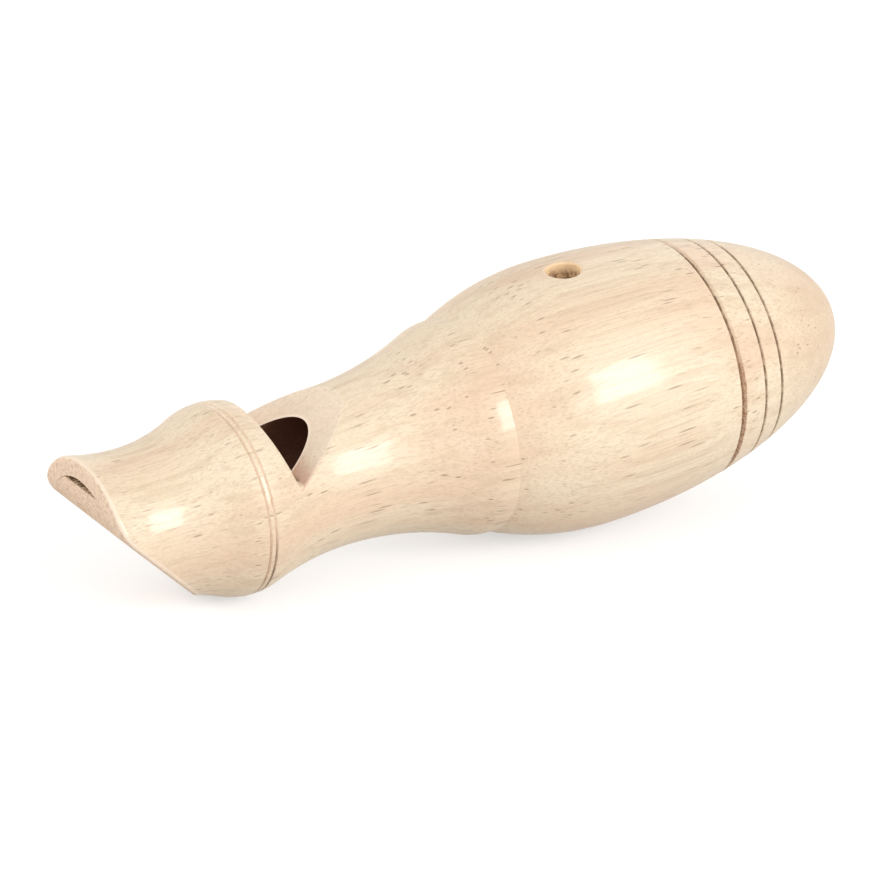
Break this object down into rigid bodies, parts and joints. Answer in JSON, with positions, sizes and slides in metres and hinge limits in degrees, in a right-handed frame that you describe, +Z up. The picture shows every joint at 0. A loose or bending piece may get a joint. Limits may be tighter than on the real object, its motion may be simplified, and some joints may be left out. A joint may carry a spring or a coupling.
{
  "type": "bird call",
  "caption": "Turned wooden whistle-type bird call with a slanted beak, a window behind its collar, a finger hole in the chamber and a domed, glued tail cap.",
  "frame": {"origin": "on the table, under the middle of the bounding box, with the whistle lying on its collar and its chamber", "axes": "+X along the whistle from the mouth to the tail, level with the table; the whistle's own axis rises 5.8 degrees towards the tail; +Z up, with the window and the finger hole on top"},
  "size_m": [0.1106, 0.0348, 0.0353],
  "materials": {
    "body_wood": "clear gloss lacquer over pale turned wood",
    "block_wood": "bare, sanded pale wood",
    "cap_wood": "clear gloss lacquer over pale turned wood"
  },
  "bodies": {
    "root": {"body": "body_wood", "fipple_block": "block_wood", "tail_cap": "cap_wood"}
  },
  "joints": []
}
